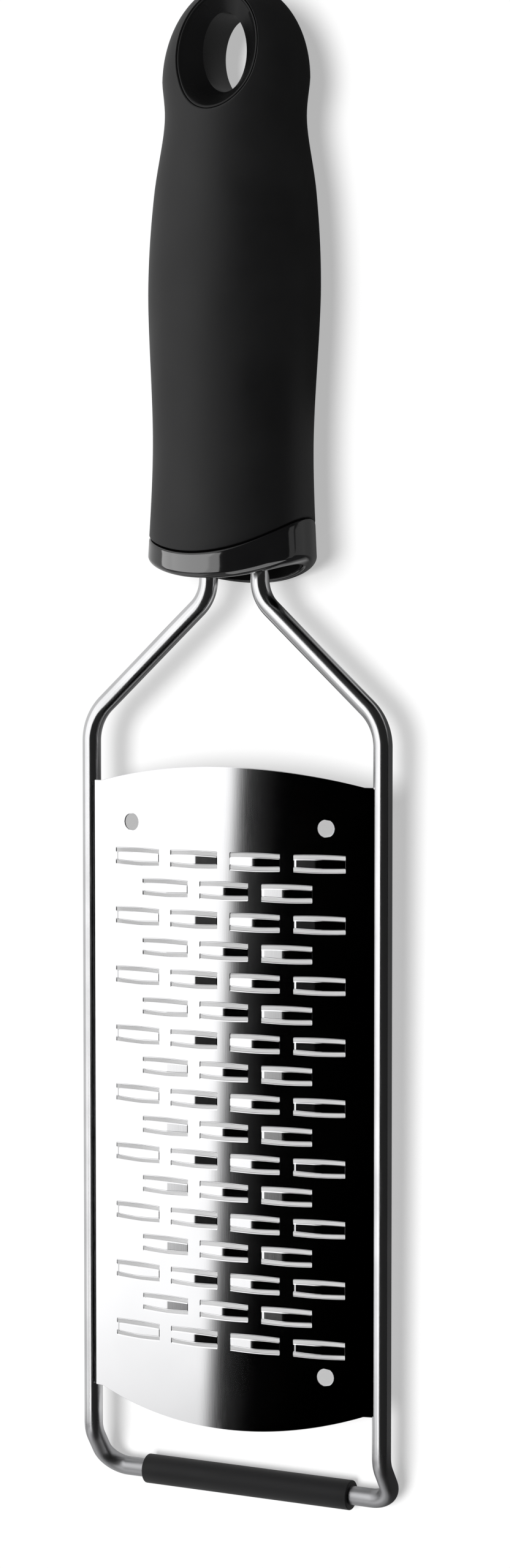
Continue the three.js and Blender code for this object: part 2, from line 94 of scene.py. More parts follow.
# Wire
WIRE_RADIUS = 2
LEG_OVERHANG = 1.2
SEAT_HEIGHT = 0.75
SEAT_END_INSET = 0.3
SEAT_SIDE_GAP = 0.05
SEAT_STEP = 0.02
PRONG_SPACING = 12.1
FLARE_ABOVE_BLADE = 13.1
FLARE_HEIGHT = 26.1
LEG_BEND_RADIUS = 10.9
PRONG_BEND_RADIUS = 8.3
PRONG_SHOWN = 3.4
WIRE_TAIL = 62
BEND_BELOW_BLADE = 10.3
BACK_BEND_ANGLE = 36
BACK_BEND_RADIUS = 6
FOOT_DROP = 6.5
FOOT_CORNER_RADIUS = 5.2
WIRE_SIDES = 40
BEND_STEP = 3

# Weld beads
WELDS_PER_SIDE = 6
WELD_LENGTH = 5
WELD_END_MARGIN = 8
WELD_RINGS, WELD_SIDES = 14, 12
WELD_OFFSET = 0.42
WELD_RADIUS = 0.82
WELD_WIDTH_SHARE, WELD_HEIGHT_SHARE = 0.86, 0.78
WELD_TAPER = 0.6
WELD_LUMP, WELD_RIPPLE = 0.16, 0.06
WELD_RIPPLE_RATE = 15
WELD_GRAIN_ALONG, WELD_GRAIN_AROUND = 0.9, 1.3
WELD_SIDE_SEED = 7

# Foot sleeve
SLEEVE_RADIUS = 3.15
SLEEVE_LENGTH = 49
SLEEVE_LIP = 0.25
SLEEVE_BORE_GAP = 0.02
SLEEVE_MOUTH = 0.3
SLEEVE_LIP_STEPS = 6
SLEEVE_HALF_RINGS = 6
SLEEVE_SIDES = 48

# Handle
MOUTH_WIDTH, MOUTH_DEPTH = 37.9, 26
MOUTH_TO_WAIST, WAIST_WIDTH, WAIST_DEPTH = 27.7, 35.3, 26.2
WAIST_TO_BELLY, BELLY_WIDTH, BELLY_DEPTH = 34, 37.7, 28.8
BELLY_TO_SHOULDER, SHOULDER_WIDTH, SHOULDER_DEPTH = 18.5, 35.4, 27.4
SHOULDER_TO_NECK, NECK_WIDTH, NECK_DEPTH = 15.5, 30.7, 25
NECK_TO_HEAD, HEAD_WIDTH, HEAD_DEPTH = 7.9, 32.6, 22.8
HEAD_TO_TIP = 20.4
HEAD_DEPTH_POWER = 0.7
HANDLE_OFFSET = 1.1
HANDLE_LEAN = 1.1
HANDLE_WALL = 3
HANDLE_SIDES = 112
SPLINE_STEPS = 40
GRIP_RINGS = 44
PART_GAP = 0.3

# Collar, plug and hang hole
COLLAR_HEIGHT = 5.3
COLLAR_LIP = 1.2
COLLAR_EDGE = 0.5
COLLAR_MOUTH_STEPS, COLLAR_LIP_STEPS, COLLAR_BAND_RINGS = 5, 9, 5
GRIP_EDGE = 0.3
EDGE_STEPS = 4
END_ARC_RADIUS = 42.3
COLLAR_ARC_RADIUS = 32.8
COLLAR_SLANT = 4.4
END_LEAN = 2.5
PLUG_RECESS = 3
PLUG_HEIGHT = 10
PLUG_GAP = 0.1
PLUG_LINING = 0.5
PLUG_LINING_DROP = 0.5
PLUG_RIM, PLUG_RIM_SINK = 0.96, 0.1
PLUG_RINGS, PLUG_SINK = (0.85, 0.7, 0.5, 0.3, 0.12), 0.25
CORE_END_MARGIN = 3
HEAD_TO_HANG_HOLE = 5.4
HANG_HOLE_WIDTH = 10.2
HANG_HOLE_HEIGHT = 16.4
HANG_HOLE_STRAIGHT = 10.3
EYELET_WALL = 4.1
EYELET_RECESS = 0.3
EYELET_RIM = 0.5
EYELET_FLANK = 3.5
EYELET_GAP = 0.1
EYELET_SIDES = 96
EYELET_EDGE_STEPS, EYELET_RIM_STEPS, EYELET_FUNNEL_RINGS = 3, 6, 5
HOLE_RIM = 0.4
HOLE_RIM_STEPS = 5
HEAD_CUT_BELOW_HOLE = 18
HEAD_STRAIGHT_POINTS, HEAD_ROUND_POINTS = 9, 27
HEAD_PATCH_RINGS = 18
HEAD_PATCH_SLOPE = 1.5

# Finish of the steel, and the Y in metres between which the wire turns satin towards the foot
LINE_STRETCH = (1, 60, 1)
LINE_ROUGHNESS = (-0.01, 0.015)
SATIN_ALONG = (-0.149, -0.143)
SATIN_COLOUR = (0.36, 0.36, 0.37)

# Finish of the mouldings
CLOUD_SIZE = 14
CLOUD_TO_GRAIN_DEPTH = 2
COAT_ROUGHNESS = 0.04

# View of the photograph
PHOTO_LONG_SIDE = 2560
VIEW_FOCUS_PIXELS = 5519.6
VIEW_TURN = 27
VIEW_PITCH = 3.29
VIEW_AIM = (4.08, 66.70, -1.60)
VIEW_DISTANCE = 710.6
SENSOR_WIDTH = 36

# Light, with the edges of the mirrored panel in degrees from the upright towards +X
OVERHEAD_SPREAD = 28
OVERHEAD_LEVEL = 3.12
AMBIENT_LEVEL = 0.03
PANEL_LEVEL = 1.25
PANEL_SKEW = -0.545
PANEL_CORE = (-24.9, -19.4)
PANEL_TAIL, PANEL_TAIL_EDGE = 0.035, (-24.9, -13.9)
PANEL_FAR_SHARE, PANEL_FAR_EDGE = 0.56, (-68, -61)

# Mirrored light at the panel's foot end and at both ends of the room, by parts of its direction
PANEL_FOOT_SHARE, PANEL_FOOT_EDGE = 0.45, (-0.305, -0.205)
ENDS_FROM = (0.45, 0.65)
ENDS_WHITE, ENDS_GREY = 1.2, 0.42
ENDS_WHITE_TO_GREY, ENDS_GREY_TO_BLACK = (-0.62, -0.46), (-0.2, 0.0)

# Floor in metres, with clouds in millimetres
FLOOR_HALF = 1.5
FLOOR_DROP = 0.0002
PAPER_LIT_SHARE = 0.55
PAPER_CLOUD = 60
PAPER_SHADES = ((0.93, 0.93, 0.93), (0.95, 0.95, 0.95))

# Mirrored floor: its tones of painted reflection, and the places in metres between which they change, across
# X or along Y
MIRRORED_LEFT, MIRRORED_RIGHT, MIRRORED_EDGE = 0.7, 0.06, (0.02, 0.035)
MIRRORED_BY_COLLAR, MIRRORED_BY_FOOT, MIRRORED_BY_HOLE = 0.5, 0.35, 0.3
HANDLE_FROM, HANDLE_EDGE_SHIFT = (0.03, 0.036), 0.035
FLARE_DARKENING, FLARE_FROM = 0.8, (-0.08, -0.04)
FLARE_LEFT, FLARE_RIGHT = (-0.034, -0.030), (0.004, 0.012)
COLLAR_TO, COLLAR_ACROSS = (0.065, 0.08), (0, 0.05)
FOOT_TO, FOOT_ACROSS = (-0.19, -0.16), (0, 0.03)
HOLE_FROM, HOLE_TO, HOLE_ACROSS = (0.125, 0.13), (0.147, 0.152), (0.012, 0.016)

# Places that follow from the sizes
PATTERN_HALF = (TOOTH_ROWS - 1) / 2 * ROW_PITCH
BLADE_TOP = PATTERN_HALF + BLADE_TOP_MARGIN
BLADE_BOTTOM = -PATTERN_HALF - BLADE_BOTTOM_MARGIN
BLADE_HALF = BLADE_WIDTH / 2
ARCH_RADIUS = (BLADE_HALF ** 2 + BLADE_ARCH_RISE ** 2) / (2 * BLADE_ARCH_RISE)
ARCH_CENTRE_Z = BLADE_EDGE_Z + BLADE_ARCH_RISE - ARCH_RADIUS
ARCH_HALF_LENGTH = ARCH_RADIUS * math.asin(BLADE_HALF / ARCH_RADIUS)
LEG_X = BLADE_HALF + LEG_OVERHANG
LEG_CORNER_Y = BLADE_TOP + FLARE_ABOVE_BLADE
PRONG_CORNER_Y = LEG_CORNER_Y + FLARE_HEIGHT
MOUTH_Y = PRONG_CORNER_Y + PRONG_SHOWN
TAIL_TOP_Y = MOUTH_Y + WIRE_TAIL
BACK_BEND_Y = BLADE_BOTTOM - BEND_BELOW_BLADE
FOOT_Y = BACK_BEND_Y - FOOT_DROP / math.tan(math.radians(BACK_BEND_ANGLE))
COLLAR_TOP_Y = MOUTH_Y + COLLAR_HEIGHT
WAIST_Y = MOUTH_Y + MOUTH_TO_WAIST
BELLY_Y = WAIST_Y + WAIST_TO_BELLY
SHOULDER_Y = BELLY_Y + BELLY_TO_SHOULDER
NECK_Y = SHOULDER_Y + SHOULDER_TO_NECK
HEAD_Y = NECK_Y + NECK_TO_HEAD
HOLE_Y = HEAD_Y + HEAD_TO_HANG_HOLE
CORE_END_Y = HOLE_Y - HANG_HOLE_HEIGHT / 2 - EYELET_WALL - CORE_END_MARGIN
HEAD_CUT_Y = HOLE_Y - HEAD_CUT_BELOW_HOLE


def middle_of(node):
    low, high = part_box(node)
    return (low + high) / 2


# The tool's frame in the row frame: its tilt from the line of weld beads, its place from the foot.
weld_line = middle_of("weld_right_1") - middle_of(f"weld_right_{WELDS_PER_SIDE}")
TILT = Matrix.Rotation(math.atan2(weld_line.z, weld_line.y), 4, "X")
FOOT_AXIS = Vector((0, FOOT_Y, -FOOT_DROP))
TOOL = Matrix.Translation(middle_of("foot_sleeve") - TILT @ (FOOT_AXIS * MILLIMETRE)) @ TILT


def place(point):
    return TOOL @ (Vector(point) * MILLIMETRE)


# Meshes

def add_mesh(name, points, faces):
    mesh = bpy.data.meshes.new(name)
    mesh.from_pydata([place(point) for point in points], [], faces)
    piece = bpy.data.objects.new(name, mesh)
    bpy.context.scene.collection.objects.link(piece)
    return piece


def face_outwards(piece, sharp_degrees):
    work = bmesh.new()
    work.from_mesh(piece.data)
    bmesh.ops.recalc_face_normals(work, faces=work.faces)
    work.to_mesh(piece.data)
    work.free()
    piece.data.shade_smooth()
    piece.data.set_sharp_from_angle(angle=math.radians(sharp_degrees))


def add_piece(name, points, faces, material, nodes, sharp_degrees=40):
    piece = add_mesh(name, points, faces)
    face_outwards(piece, sharp_degrees)
    dress(piece, material, nodes)
    return piece


def dress(piece, material, nodes):
    piece.data.materials.append(material)
    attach(piece, "root")
    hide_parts(*nodes)


def bridge(faces, first, second):
    """Quads between two closed loops of equally many vertex numbers."""
    count = len(first)
    for side in range(count):
        after = (side + 1) % count
        faces.append((first[side], first[after], second[after], second[side]))


def loop_skin(loops, closed=False):
    """The points and faces of a skin over loops of equally many points."""
    count = len(loops[0])
    points = [point for loop in loops for point in loop]
    numbers = [list(range(index * count, (index + 1) * count)) for index in range(len(loops))]
    faces = []
    for first, second in zip(numbers, numbers[1:]):
        bridge(faces, first, second)
    if closed:
        bridge(faces, numbers[-1], numbers[0])
    else:
        faces.append(tuple(reversed(numbers[0])))
        faces.append(tuple(numbers[-1]))
    return points, faces


def turned(count):
    return [index / count * 2 * math.pi for index in range(count)]


def quarter(steps):
    """Sine and cosine from 0 to a right angle."""
    angles = [index / steps * math.pi / 2 for index in range(steps + 1)]
    return [(math.sin(angle), math.cos(angle)) for angle in angles]


# Wire frame

def rounded_path(corners):
    """Points along a path with rounded corners, each with the direction of travel there."""
    points = [Vector(point) for point, radius in corners]
    path = [(points[0], (points[1] - points[0]).normalized())]
    for index in range(1, len(points) - 1):
        radius = corners[index][1]
        before = (points[index] - points[index - 1]).normalized()
        after = (points[index + 1] - points[index]).normalized()
        turn = before.angle(after)
        if turn < NEARLY_STRAIGHT:
            path.append((points[index], before))
            continue
        start = points[index] - before * (radius * math.tan(turn / 2))
        inward = (after - before * after.dot(before)).normalized()
        centre = start + inward * radius
        steps = math.ceil(math.degrees(turn) / BEND_STEP)
        for step in range(steps + 1):
            swing = Matrix.Rotation(turn * step / steps, 3, before.cross(after))
            path.append((centre + swing @ (inward * -radius), swing @ before))
    path.append((points[-1], (points[-1] - points[-2]).normalized()))
    return path


def frame_corners():
    seat_ends = (BLADE_TOP - SEAT_END_INSET, BLADE_BOTTOM + SEAT_END_INSET)
    seat = [((LEG_X, end + step, 0), 0) for end in seat_ends for step in (SEAT_STEP, -SEAT_STEP)]
    one_side = [
        ((PRONG_SPACING / 2, TAIL_TOP_Y, 0), 0),
        ((PRONG_SPACING / 2, PRONG_CORNER_Y, 0), PRONG_BEND_RADIUS),
        ((LEG_X, LEG_CORNER_Y, 0), LEG_BEND_RADIUS),
        *seat,
        ((LEG_X, BACK_BEND_Y, 0), BACK_BEND_RADIUS),
        ((LEG_X, FOOT_Y, -FOOT_DROP), FOOT_CORNER_RADIUS),
    ]
    left = [((-x, y, z), radius) for (x, y, z), radius in one_side]
    return left + one_side[::-1]


def seated(point):
    """A point of the rod, lowered to the flat seat that the blade's edge lies on."""
    across = abs(point.x)
    beside_blade = BLADE_BOTTOM + SEAT_END_INSET < point.y < BLADE_TOP - SEAT_END_INSET
    if beside_blade and across < BLADE_HALF + SEAT_SIDE_GAP and point.z > SEAT_HEIGHT:
        return Vector((point.x, point.y, SEAT_HEIGHT))
    return point


def make_wire_frame(material):
    upright = Vector((0, 0, 1))
    loops = []
    for point, along in rounded_path(frame_corners()):
        upright = (upright - along * upright.dot(along)).normalized()
        beside = along.cross(upright)
        loops.append([
            seated(point + (upright * math.cos(angle) + beside * math.sin(angle)) * WIRE_RADIUS)
            for angle in turned(WIRE_SIDES)
        ])
    points, faces = loop_skin(loops)
    return add_piece("wire_rod", points, faces, material, ["wire_frame"], sharp_degrees=50)


# Blade

def tooth_lines():
    """Places across a tooth where its strip needs a line of points."""
    half = TOOTH_LENGTH / 2
    lines = []
    for sign, run in ((-1, LEFT_RAMP), (1, RIGHT_RAMP)):
        offsets = [CREST_ROUND * line / CREST_LINES for line in range(CREST_LINES + 1)]
        offsets.append((CREST_ROUND + half - run) / 2)
        offsets += [half - run * line / RAMP_LINES for line in range(RAMP_LINES + 1)]
        offsets.append(half + BLADE_CHAMFER)
        lines += [sign * offset for offset in offsets]
    return lines


def merged(values):
    kept = []
    for value in sorted(values):
        if not kept or value - kept[-1] > SAME_LINE:
            kept.append(value)
    return kept


def across_lines():
    lines = [0]
    for column in range(1 - LONG_ROW_TEETH, LONG_ROW_TEETH):
        lines += [column * COLUMN_PITCH / 2 + line for line in tooth_lines()]
    shoulder = ARCH_RADIUS * math.asin((BLADE_HALF - END_SHOULDER) / ARCH_RADIUS)
    edge = [ARCH_HALF_LENGTH, ARCH_HALF_LENGTH - BLADE_CHAMFER]
    edge += [shoulder - SHOULDER_LINE_STEP * line for line in range(SHOULDER_LINES)]
    hole = [HOLE_SPACING / 2 - HOLE_PATCH, HOLE_SPACING / 2 + HOLE_PATCH]
    for value in edge + hole:
        lines += [-value, value]
    return merged(lines)


def row_height(row):
    return PATTERN_HALF - row * ROW_PITCH


def along_lines():
    lines = []
    inner, outer = TOOTH_STRIP / 2, TOOTH_OPENING / 2
    for row in range(TOOTH_ROWS):
        for offset in (0, inner - SLOT_BEVEL, inner, outer, outer + SLOT_BEVEL):
            lines += [row_height(row) - offset, row_height(row) + offset]
        if row + 1 < TOOTH_ROWS:
            lines.append(row_height(row) - ROW_PITCH / 2)
    for hole_y in (hole_places()[0][1], hole_places()[2][1]):
        for step in range(-HOLE_PATCH_STEPS, HOLE_PATCH_STEPS + 1):
            lines.append(hole_y + HOLE_PATCH * step / HOLE_PATCH_STEPS)
    lines += [BLADE_TOP - END_BLEND, BLADE_BOTTOM + END_BLEND]
    return merged(lines)


def hole_places():
    top = PATTERN_HALF + TOP_HOLE_OFFSET
    bottom = -PATTERN_HALF - BOTTOM_HOLE_OFFSET
    return [(-HOLE_SPACING / 2, top), (HOLE_SPACING / 2, top), (HOLE_SPACING / 2, bottom)]


def end_height(across, level, rise):
    """Where the blade's convex end lies beyond its corners' level, at a distance across."""
    reach = BLADE_HALF - END_SHOULDER
    x = ARCH_RADIUS * math.sin(across / ARCH_RADIUS)
    if abs(x) >= reach:
        return level
    radius = (reach ** 2 + rise ** 2) / (2 * rise)
    return level + math.copysign(math.sqrt(radius ** 2 - x ** 2) - radius + rise, level)


def nearest_tooth(across, along):
    """Distances across and along from the nearest tooth of the pattern, or None outside it."""
    row = round((PATTERN_HALF - along) / ROW_PITCH)
    if not 0 <= row < TOOTH_ROWS:
        return None
    count = LONG_ROW_TEETH - row % 2
    shift = (count - 1) / 2
    column = min(max(round(across / COLUMN_PITCH + shift), 0), count - 1)
    return across - (column - shift) * COLUMN_PITCH, along - row_height(row)


def gable(beside):
    """Height and slope of a tooth's strip above the flat that touches the arch at the tooth's middle."""
    left, right = (math.tan(math.radians(slope)) for slope in (LEFT_SLOPE, RIGHT_SLOPE))
    if beside < -CREST_ROUND:
        return CREST_RISE + left * beside, left
    if beside > CREST_ROUND:
        return CREST_RISE - right * beside, -right
    turn = (left + right) / (2 * CREST_ROUND)
    run = beside + CREST_ROUND
    return CREST_RISE + left * beside - turn * run ** 2 / 2, left - turn * run


def strip_rise(beside):
    """Height and slope of a tooth's strip above the sheet, which it leaves in a short ramp at each end."""
    half = TOOTH_LENGTH / 2
    if abs(beside) >= half:
        return 0, 0
    height, slope = gable(beside)
    height += beside ** 2 / (2 * ARCH_RADIUS)
    slope += beside / ARCH_RADIUS
    run = LEFT_RAMP if beside < 0 else RIGHT_RAMP
    part = min((half - abs(beside)) / run, 1)
    ease = part ** 2 * (3 - 2 * part)
    steep = 6 * part * (1 - part) / run
    return height * ease, slope * ease - math.copysign(height * steep, beside)


def slot_bow(beside, offset):
    """How far the edges of a tooth's slots bend away from its middle line."""
    half = TOOTH_LENGTH / 2
    near, far = TOOTH_STRIP / 2 - SLOT_BEVEL, TOOTH_OPENING / 2 + SLOT_BEVEL
    if abs(beside) >= half or not near - SMALL <= abs(offset) <= far + SMALL:
        return 0
    return math.copysign(TOOTH_BOW * (1 - (beside / half) ** 2), offset)


def sheet_point(across, along):
    """Place and normal of the middle of the sheet."""
    rise, slope, bow = 0, 0, 0
    tooth = nearest_tooth(across, along)
    if tooth:
        bow = slot_bow(*tooth)
        if abs(tooth[1]) <= TOOTH_STRIP / 2 + SMALL:
            rise, slope = strip_rise(tooth[0])
    angle = across / ARCH_RADIUS
    normal = Vector((math.sin(angle), 0, math.cos(angle)))
    beside = Vector((math.cos(angle), 0, -math.sin(angle)))
    point = Vector((0, along + bow, ARCH_CENTRE_Z)) + normal * (ARCH_RADIUS + rise)
    return point, (normal - beside * slope).normalized()


def in_slot(across, along):
    tooth = nearest_tooth(across, along)
    if not tooth or abs(tooth[0]) > TOOTH_LENGTH / 2:
        return False
    return TOOTH_STRIP / 2 < abs(tooth[1]) < TOOTH_OPENING / 2


def in_hole_patch(across, along):
    return any(
        max(abs(across - hole[0]), abs(along - hole[1])) < HOLE_PATCH for hole in hole_places()
    )


class Sheet:
    """The upper face of the blade as points with normals, and faces between them."""

    def __init__(self):
        self.points, self.normals, self.faces = [], [], []

    def add(self, across, along):
        point, normal = sheet_point(across, along)
        self.points.append(point)
        self.normals.append(normal)
        return len(self.points) - 1

    def rim(self):
        """Edges that only one face has, in that face's order."""
        edges = {}
        for face in self.faces:
            for start, end in zip(face, face[1:] + face[:1]):
                edges[start, end] = True
        return [edge for edge in edges if edge[::-1] not in edges]


def blade_sheet():
    sheet = Sheet()
    across_at, along_at = across_lines(), along_lines()
    grid = {}

    def number(i, j):
        if (i, j) not in grid:
            grid[i, j] = sheet.add(across_at[i], along_at[j])
        return grid[i, j]

    for i in range(len(across_at) - 1):
        for j in range(len(along_at) - 1):
            middle = ((across_at[i] + across_at[i + 1]) / 2, (along_at[j] + along_at[j + 1]) / 2)
            if not in_slot(*middle) and not in_hole_patch(*middle):
                sheet.faces.append((number(i, j), number(i + 1, j), number(i + 1, j + 1), number(i, j + 1)))
    for hole in hole_places():
        add_hole(sheet, hole, across_at, along_at, number)
    for level, rise, j in ((BLADE_TOP, TOP_END_RISE, len(along_at) - 1), (BLADE_BOTTOM, BOTTOM_END_RISE, 0)):
        rows = [[number(i, j) for i in range(len(across_at))]]
        columns = []
        for across in across_at:
            run = end_height(across, level, rise) - along_at[j]
            lengths = [run * step / END_ROWS for step in range(1, END_ROWS)]
            lengths += [run - math.copysign(BLADE_CHAMFER, run), run]
            columns.append([sheet.add(across, along_at[j] + length) for length in lengths])
        rows += zip(*columns)
        for first, second in zip(rows, rows[1:]):
            lower, upper = (first, second) if level > 0 else (second, first)
            for i in range(len(across_at) - 1):
                sheet.faces.append((lower[i], lower[i + 1], upper[i + 1], upper[i]))
    return sheet


def add_hole(sheet, hole, across_at, along_at, number):
    """Fills the square patch round a hole with rings out to the grid."""
    limit = HOLE_PATCH + SAME_LINE
    inside_across = [i for i, across in enumerate(across_at) if abs(across - hole[0]) < limit]
    inside_along = [j for j, along in enumerate(along_at) if abs(along - hole[1]) < limit]
    left, right, low, high = inside_across[0], inside_across[-1], inside_along[0], inside_along[-1]
    square = [(i, low) for i in range(left, right)]
    square += [(right, j) for j in range(low, high)]
    square += [(i, high) for i in range(right, left, -1)]
    square += [(left, j) for j in range(high, low, -1)]
    rings = [[number(i, j) for i, j in square]]
    for margin in (HOLE_RING, BLADE_CHAMFER, 0):
        radius = HOLE_DIAMETER / 2 + margin
        ring = []
        for i, j in square:
            angle = math.atan2(along_at[j] - hole[1], across_at[i] - hole[0])
            ring.append(sheet.add(hole[0] + radius * math.cos(angle), hole[1] + radius * math.sin(angle)))
        rings.append(ring)
    for first, second in zip(rings, rings[1:]):
        bridge(sheet.faces, first, second)


def make_blade(material):
    sheet = blade_sheet()
    count = len(sheet.points)
    rim = sheet.rim()
    outward = {}
    side_of = {}
    for start, end in rim:
        travel = (sheet.points[end] - sheet.points[start]).normalized()
        side = travel.cross(sheet.normals[start]).normalized()
        side_of[start, end] = side
        for corner in (start, end):
            outward[corner] = outward.get(corner, Vector()) + side
    half = BLADE_THICKNESS / 2
    upper, upper_normals = [], []
    for index, (point, normal) in enumerate(zip(sheet.points, sheet.normals)):
        if index in outward:
            upper.append(point + normal * (half - BLADE_CHAMFER))
            upper_normals.append((normal + outward[index].normalized()).normalized())
        else:
            upper.append(point + normal * half)
            upper_normals.append(normal)
    lower = [point - normal * half for point, normal in zip(sheet.points, sheet.normals)]
    faces = list(sheet.faces)
    loop_normals = [upper_normals[corner] for face in faces for corner in face]
    for face in sheet.faces:
        turned_face = tuple(corner + count for corner in reversed(face))
        faces.append(turned_face)
        loop_normals += [-sheet.normals[corner - count] for corner in turned_face]
    for start, end in rim:
        faces.append((end, start, start + count, end + count))
        loop_normals += [side_of[start, end]] * 4
    piece = add_mesh("blade_sheet", upper + lower, faces)
    piece.data.shade_smooth()
    turn = TILT.to_3x3()
    piece.data.normals_split_custom_set([turn @ normal for normal in loop_normals])
    dress(piece, material, ["blade"])


# Weld beads

def weld_height(number):
    first, last = BLADE_TOP - WELD_END_MARGIN, BLADE_BOTTOM + WELD_END_MARGIN
    return first + (last - first) * number / (WELDS_PER_SIDE - 1)


def weld_loop(sign, number, part):
    """One ring of a bead, at a part of its length from -1 to 1."""
    swell = math.sqrt(1 - part ** 2) ** WELD_TAPER
    along = weld_height(number) + part * WELD_LENGTH / 2
    ripple = WELD_RIPPLE * math.sin(part * WELD_RIPPLE_RATE)
    loop = []
    for angle in turned(WELD_SIDES):
        cosine, sine = math.cos(angle), math.sin(angle)
        seed = Vector((
            along * WELD_GRAIN_ALONG,
            cosine * WELD_GRAIN_AROUND + sign * WELD_SIDE_SEED,
            sine * WELD_GRAIN_AROUND,
        ))
        radius = swell * (WELD_RADIUS + WELD_LUMP * noise.noise(seed) + ripple)
        inward = LEG_X - WIRE_RADIUS - WELD_OFFSET + radius * cosine * WELD_WIDTH_SHARE
        loop.append((sign * inward, along, WELD_OFFSET + radius * sine * WELD_HEIGHT_SHARE))
    return loop


def make_welds(material):
    """Lumpy beads in the corner between each leg's inner flank and the underside of the blade."""
    for side_name, sign in (("left", -1), ("right", 1)):
        for number in range(WELDS_PER_SIDE):
            loops = [weld_loop(sign, number, -1 + 2 * ring / WELD_RINGS) for ring in range(1, WELD_RINGS)]
            points, faces = loop_skin(loops)
            name = f"{side_name}_{number + 1}"
            add_piece(
                f"bead_{name}", points, faces, material, [f"weld_{name}"], sharp_degrees=60,
            )


# Foot sleeve

def make_foot_sleeve(material):
    """A rubber tube on the crossbar, with rounded mouths that grip the rod."""
    half = SLEEVE_LENGTH / 2
    mouth = [(half, WIRE_RADIUS + SLEEVE_BORE_GAP), (half, WIRE_RADIUS + SLEEVE_MOUTH)]
    for sine, cosine in quarter(SLEEVE_LIP_STEPS):
        mouth.append((half - SLEEVE_LIP * (1 - cosine), SLEEVE_RADIUS - SLEEVE_LIP * (1 - sine)))
    tube = [
        ((half - SLEEVE_LIP) * (1 - ring / SLEEVE_HALF_RINGS), SLEEVE_RADIUS)
        for ring in range(1, 2 * SLEEVE_HALF_RINGS)
    ]
    far_mouth = [(-x, radius) for x, radius in reversed(mouth)]
    loops = [
        [
            FOOT_AXIS + Vector((x, radius * math.cos(angle), radius * math.sin(angle)))
            for angle in turned(SLEEVE_SIDES)
        ]
        for x, radius in mouth + tube + far_mouth
    ]
    points, faces = loop_skin(loops, closed=True)
    add_piece("foot_tube", points, faces, material, ["foot_sleeve"])


# Handle

def spline_sections():
    """Half width, place and half depth along the handle, on a curve through its named sections."""
    knots = [
        Vector((width / 2, along, depth / 2))
        for width, along, depth in (
            (MOUTH_WIDTH, MOUTH_Y, MOUTH_DEPTH),
            (WAIST_WIDTH, WAIST_Y, WAIST_DEPTH),
            (BELLY_WIDTH, BELLY_Y, BELLY_DEPTH),
            (SHOULDER_WIDTH, SHOULDER_Y, SHOULDER_DEPTH),
            (NECK_WIDTH, NECK_Y, NECK_DEPTH),
            (HEAD_WIDTH, HEAD_Y, HEAD_DEPTH),
        )
    ]
    padded = [knots[0] * 2 - knots[1], *knots, knots[-1] * 2 - knots[-2]]
    sections = []
    for a, b, c, d in zip(padded, padded[1:], padded[2:], padded[3:]):
        before, span, after = (math.sqrt((q - p).length) for p, q in ((a, b), (b, c), (c, d)))
        leave = ((b - a) / before - (c - a) / (before + span) + (c - b) / span) * span
        arrive = ((c - b) / span - (d - b) / (span + after) + (d - c) / after) * span
        for step in range(SPLINE_STEPS):
            t = step / SPLINE_STEPS
            cubic = (b - c) * 2 + leave + arrive
            square = (c - b) * 3 - leave * 2 - arrive
            sections.append(b + leave * t + square * t ** 2 + cubic * t ** 3)
    return sections + [knots[-1]]


SECTIONS = spline_sections()
SECTION_HEIGHTS = [section.y for section in SECTIONS]


def half_sizes(along):
    """Half width and half depth of the handle, carried straight on past its mouth and round its head."""
    if along <= SECTION_HEIGHTS[0]:
        return SECTIONS[0].x, SECTIONS[0].z
    if along >= SECTION_HEIGHTS[-1]:
        sine = min((along - HEAD_Y) / HEAD_TO_TIP, 1)
        width = math.sqrt(1 - sine ** 2)
        return HEAD_WIDTH / 2 * width, HEAD_DEPTH / 2 * width ** HEAD_DEPTH_POWER
    after = bisect_right(SECTION_HEIGHTS, along)
    a, b = SECTIONS[after - 1], SECTIONS[after]
    part = (along - a.y) / (b.y - a.y)
    return a.x + (b.x - a.x) * part, a.z + (b.z - a.z) * part


def handle_centre(along):
    return HANDLE_OFFSET - (along - MOUTH_Y) * math.tan(math.radians(HANDLE_LEAN))


def handle_point(angle, along, grow=0.0):
    width, depth = half_sizes(along)
    return Vector((
        (width + grow) * math.cos(angle),
        along,
        handle_centre(along) + (depth + grow) * math.sin(angle),
    ))


def handle_face(x, along, side):
    """The handle's front (side 1) or back (side -1) at a place in plan."""
    width, depth = half_sizes(along)
    inside = max(1 - (x / width) ** 2, 0) if width > SMALL else 0
    return handle_centre(along) + side * depth * math.sqrt(inside)


END_ARC = (END_ARC_RADIUS, 0)
COLLAR_ARC = (COLLAR_ARC_RADIUS, math.radians(COLLAR_SLANT))


def arc_height(arc, level, x, z):
    """Height of an arc across the handle, which leans towards the back and has its middle at a level."""
    radius, slant = arc
    beside = x + radius * math.sin(slant)
    rise = radius * math.cos(slant) - math.sqrt(radius ** 2 - beside ** 2)
    return level + rise + (z - handle_centre(level)) * math.tan(math.radians(END_LEAN))


def arc_along(arc, angle, level, grow=0.0):
    edge = handle_point(angle, level, grow)
    return arc_height(arc, level, edge.x, edge.z)


def arc_loop(arc, level, grow, shift=0.0):
    """A loop round the handle along an arc at a level, moved out by grow and along by shift."""
    return [
        handle_point(angle, arc_along(arc, angle, level, grow) + shift, grow)
        for angle in turned(HANDLE_SIDES)
    ]


def oval(angle, grow):
    return Vector((
        (HANG_HOLE_WIDTH / 2 + grow) * math.cos(angle),
        HOLE_Y + (HANG_HOLE_HEIGHT / 2 + grow) * math.sin(angle),
    ))


